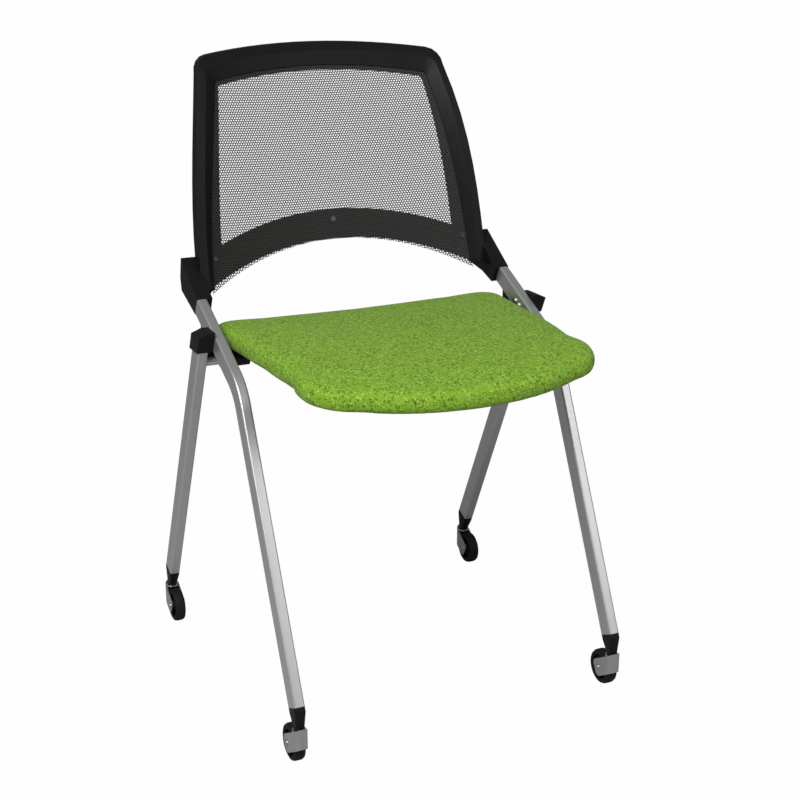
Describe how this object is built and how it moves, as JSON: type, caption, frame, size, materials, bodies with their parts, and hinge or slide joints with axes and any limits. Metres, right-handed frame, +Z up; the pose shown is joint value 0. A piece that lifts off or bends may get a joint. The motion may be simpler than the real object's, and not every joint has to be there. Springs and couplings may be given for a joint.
{
  "type": "nesting chair",
  "caption": "Nesting task chair on castors: bent side tubes with rear legs, a framed mesh back and a padded seat that tips up about a cross rod.",
  "frame": {"origin": "on the floor under the middle of the overall width and depth", "axes": "+Z up, +X across the chair towards the sitter's left, +Y towards the back; the chair faces -Y"},
  "size_m": [0.5376, 0.5671, 0.8695],
  "materials": {
    "frame_paint": "satin",
    "rod_steel": "satin",
    "castor_steel": "satin",
    "dark_screws": "satin",
    "wheel_tread": "matte",
    "wheel_core": "matte",
    "seat_fabric": "matte",
    "back_mesh": "matte",
    "seat_board": "matte",
    "stop_rubber": "matte",
    "bush_plastic": "matte",
    "black_plastic": "textured"
  },
  "bodies": {
    "frame": {"front_tube_left": "frame_paint", "front_tube_right": "frame_paint", "rear_leg_left": "frame_paint", "rear_leg_right": "frame_paint", "joint_housing_left": "black_plastic", "joint_housing_right": "black_plastic", "joint_bolts": "castor_steel", "joint_nuts": "castor_steel", "pivot_rod": "rod_steel", "back_shell": "black_plastic", "back_carrier": "black_plastic", "back_mesh": "back_mesh", "band_screws": "dark_screws", "back_bracket_left": "black_plastic", "back_bracket_right": "black_plastic", "leg_plug_front_left": "black_plastic", "leg_plug_front_right": "black_plastic", "leg_plug_rear_left": "black_plastic", "leg_plug_rear_right": "black_plastic"},
    "seat": {"seat_cushion": "seat_fabric", "seat_board": "seat_board", "seat_pan": "black_plastic", "seat_bracket_left": "black_plastic", "seat_bracket_right": "black_plastic", "seat_bush_left": "bush_plastic", "seat_bush_right": "bush_plastic", "bracket_screws": "castor_steel", "stop_pads": "stop_rubber"},
    "castor_front_left": {"castor_fork_front_left": "castor_steel", "castor_stem_front_left": "castor_steel", "castor_axle_front_left": "castor_steel"},
    "wheel_front_left": {"wheel_core_front_left": "wheel_core", "wheel_tread_front_left": "wheel_tread"},
    "castor_front_right": {"castor_fork_front_right": "castor_steel", "castor_stem_front_right": "castor_steel", "castor_axle_front_right": "castor_steel"},
    "wheel_front_right": {"wheel_core_front_right": "wheel_core", "wheel_tread_front_right": "wheel_tread"},
    "castor_rear_left": {"castor_fork_rear_left": "castor_steel", "castor_stem_rear_left": "castor_steel", "castor_axle_rear_left": "castor_steel"},
    "wheel_rear_left": {"wheel_core_rear_left": "wheel_core", "wheel_tread_rear_left": "wheel_tread"},
    "castor_rear_right": {"castor_fork_rear_right": "castor_steel", "castor_stem_rear_right": "castor_steel", "castor_axle_rear_right": "castor_steel"},
    "wheel_rear_right": {"wheel_core_rear_right": "wheel_core", "wheel_tread_rear_right": "wheel_tread"}
  },
  "joints": [
    {"name": "seat_tip", "type": "hinge", "parent": "frame", "child": "seat", "pos_m": [0, 0.06398, 0.46448], "axis": [-1, 0, 0], "range_deg": [0, 80]},
    {"name": "swivel_front_left", "type": "hinge", "parent": "frame", "child": "castor_front_left", "pos_m": [-0.237, -0.23391, 0.053], "axis": [0, 0, 1], "continuous": true},
    {"name": "roll_front_left", "type": "hinge", "parent": "castor_front_left", "child": "wheel_front_left", "pos_m": [-0.237, -0.21511, 0.025], "axis": [1, 0, 0], "continuous": true},
    {"name": "swivel_front_right", "type": "hinge", "parent": "frame", "child": "castor_front_right", "pos_m": [0.237, -0.23391, 0.053], "axis": [0, 0, 1], "continuous": true},
    {"name": "roll_front_right", "type": "hinge", "parent": "castor_front_right", "child": "wheel_front_right", "pos_m": [0.237, -0.21511, 0.025], "axis": [1, 0, 0], "continuous": true},
    {"name": "swivel_rear_left", "type": "hinge", "parent": "frame", "child": "castor_rear_left", "pos_m": [-0.257, 0.25513, 0.053], "axis": [0, 0, 1], "continuous": true},
    {"name": "roll_rear_left", "type": "hinge", "parent": "castor_rear_left", "child": "wheel_rear_left", "pos_m": [-0.257, 0.23633, 0.025], "axis": [1, 0, 0], "continuous": true},
    {"name": "swivel_rear_right", "type": "hinge", "parent": "frame", "child": "castor_rear_right", "pos_m": [0.257, 0.25513, 0.053], "axis": [0, 0, 1], "continuous": true},
    {"name": "roll_rear_right", "type": "hinge", "parent": "castor_rear_right", "child": "wheel_rear_right", "pos_m": [0.257, 0.23633, 0.025], "axis": [1, 0, 0], "continuous": true}
  ]
}
